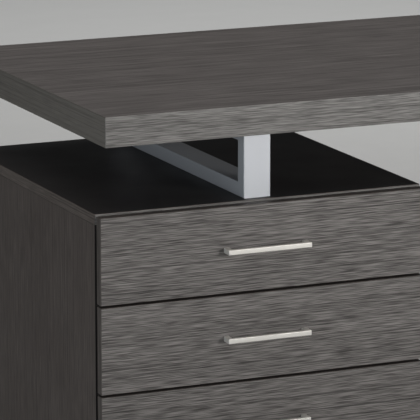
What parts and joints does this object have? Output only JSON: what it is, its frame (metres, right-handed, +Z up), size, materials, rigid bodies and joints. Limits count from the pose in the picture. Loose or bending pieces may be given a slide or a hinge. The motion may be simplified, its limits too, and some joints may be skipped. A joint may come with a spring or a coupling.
{
  "type": "writing desk",
  "caption": "Writing desk: thick woodgrain top floating on a tube bracket over a drawer pedestal, with a tube leg frame at the other end.",
  "frame": {"origin": "on the floor under the middle of the desktop", "axes": "+X along the desk away from the pedestal, +Y from front to back, +Z up"},
  "size_m": [1.524, 0.6, 0.762],
  "materials": {
    "desktop_laminate": "woodgrain laminate, satin, grain along the desk",
    "side_laminate": "woodgrain laminate, satin",
    "drawer_laminate": "woodgrain laminate with fine horizontal grain, satin",
    "drawer_box_laminate": "plain grey laminate, matt",
    "black_laminate": "black laminate, satin",
    "particle_board": "raw particle board",
    "honeycomb_paper": "kraft paper honeycomb",
    "beech": "plain beech",
    "silver_paint": "satin silver powder coat",
    "satin_nickel": "satin nickel plate",
    "zinc": "bright zinc plate",
    "white_steel": "white epoxy coat",
    "roller_nylon": "white nylon",
    "black_plastic": "black moulded plastic"
  },
  "bodies": {
    "desk": {"desktop_top_skin": "desktop_laminate", "desktop_bottom_skin": "desktop_laminate", "desktop_core_rails": "particle_board", "desktop_mounting_blocks": "particle_board", "desktop_honeycomb": "honeycomb_paper", "desktop_long_bands": "desktop_laminate", "desktop_end_bands": "side_laminate", "pedestal_top": "black_laminate", "pedestal_top_bands": "side_laminate", "left_side_panel": "side_laminate", "right_side_panel": "side_laminate", "pedestal_bottom": "side_laminate", "back_panel": "side_laminate", "plinth_rails": "side_laminate", "cam_locks": "zinc", "cam_bolts": "zinc", "dowels": "beech", "cabinet_runners": "white_steel", "runner_screws": "zinc", "bracket_rails": "silver_paint", "bracket_posts": "silver_paint", "bracket_bolts": "zinc", "rivet_nuts": "zinc", "leg_rails": "silver_paint", "leg_posts": "silver_paint", "frame_screws": "zinc", "glides": "black_plastic"},
    "upper_drawer": {"upper_drawer_front": "drawer_laminate", "upper_drawer_sides": "drawer_box_laminate", "upper_drawer_back": "drawer_box_laminate", "upper_drawer_bottom": "drawer_box_laminate", "upper_drawer_handle": "satin_nickel", "upper_drawer_handle_screws": "zinc", "upper_drawer_box_screws": "zinc", "upper_drawer_runners": "white_steel"},
    "upper_drawer_rear_roller_pair": {"upper_drawer_rear_rollers": "roller_nylon"},
    "upper_drawer_front_roller_pair": {"upper_drawer_front_rollers": "roller_nylon"},
    "middle_drawer": {"middle_drawer_front": "drawer_laminate", "middle_drawer_sides": "drawer_box_laminate", "middle_drawer_back": "drawer_box_laminate", "middle_drawer_bottom": "drawer_box_laminate", "middle_drawer_handle": "satin_nickel", "middle_drawer_handle_screws": "zinc", "middle_drawer_box_screws": "zinc", "middle_drawer_runners": "white_steel"},
    "middle_drawer_rear_roller_pair": {"middle_drawer_rear_rollers": "roller_nylon"},
    "middle_drawer_front_roller_pair": {"middle_drawer_front_rollers": "roller_nylon"},
    "file_drawer": {"file_drawer_front": "drawer_laminate", "file_drawer_sides": "drawer_box_laminate", "file_drawer_back": "drawer_box_laminate", "file_drawer_bottom": "drawer_box_laminate", "file_drawer_handle": "satin_nickel", "file_drawer_handle_screws": "zinc", "file_drawer_box_screws": "zinc", "file_drawer_runners": "white_steel", "file_drawer_file_rails": "zinc"},
    "file_drawer_rear_roller_pair": {"file_drawer_rear_rollers": "roller_nylon"},
    "file_drawer_front_roller_pair": {"file_drawer_front_rollers": "roller_nylon"}
  },
  "joints": [
    {"name": "upper_drawer_slide", "type": "slide", "parent": "desk", "child": "upper_drawer", "axis": [0, -1, 0], "range_m": [0, 0.34]},
    {"name": "upper_drawer_rear_roller_spin", "type": "hinge", "parent": "upper_drawer", "child": "upper_drawer_rear_roller_pair", "pos_m": [-0.512, 0.175, 0.5133], "axis": [1, 0, 0], "range_deg": [0, 2056]},
    {"name": "upper_drawer_front_roller_spin", "type": "hinge", "parent": "desk", "child": "upper_drawer_front_roller_pair", "pos_m": [-0.512, -0.242, 0.5157], "axis": [1, 0, 0], "range_deg": [0, 2056]},
    {"name": "middle_drawer_slide", "type": "slide", "parent": "desk", "child": "middle_drawer", "axis": [0, -1, 0], "range_m": [0, 0.34]},
    {"name": "middle_drawer_rear_roller_spin", "type": "hinge", "parent": "middle_drawer", "child": "middle_drawer_rear_roller_pair", "pos_m": [-0.512, 0.175, 0.3863], "axis": [1, 0, 0], "range_deg": [0, 2056]},
    {"name": "middle_drawer_front_roller_spin", "type": "hinge", "parent": "desk", "child": "middle_drawer_front_roller_pair", "pos_m": [-0.512, -0.242, 0.3887], "axis": [1, 0, 0], "range_deg": [0, 2056]},
    {"name": "file_drawer_slide", "type": "slide", "parent": "desk", "child": "file_drawer", "axis": [0, -1, 0], "range_m": [0, 0.34]},
    {"name": "file_drawer_rear_roller_spin", "type": "hinge", "parent": "file_drawer", "child": "file_drawer_rear_roller_pair", "pos_m": [-0.512, 0.175, 0.0783], "axis": [1, 0, 0], "range_deg": [0, 2056]},
    {"name": "file_drawer_front_roller_spin", "type": "hinge", "parent": "desk", "child": "file_drawer_front_roller_pair", "pos_m": [-0.512, -0.242, 0.0807], "axis": [1, 0, 0], "range_deg": [0, 2056]}
  ],
  "couplings": [
    {"joint": "upper_drawer_rear_roller_spin", "follows": "upper_drawer_slide", "rad_per_m": 105.26},
    {"joint": "upper_drawer_front_roller_spin", "follows": "upper_drawer_slide", "rad_per_m": 105.26},
    {"joint": "middle_drawer_rear_roller_spin", "follows": "middle_drawer_slide", "rad_per_m": 105.26},
    {"joint": "middle_drawer_front_roller_spin", "follows": "middle_drawer_slide", "rad_per_m": 105.26},
    {"joint": "file_drawer_rear_roller_spin", "follows": "file_drawer_slide", "rad_per_m": 105.26},
    {"joint": "file_drawer_front_roller_spin", "follows": "file_drawer_slide", "rad_per_m": 105.26}
  ]
}
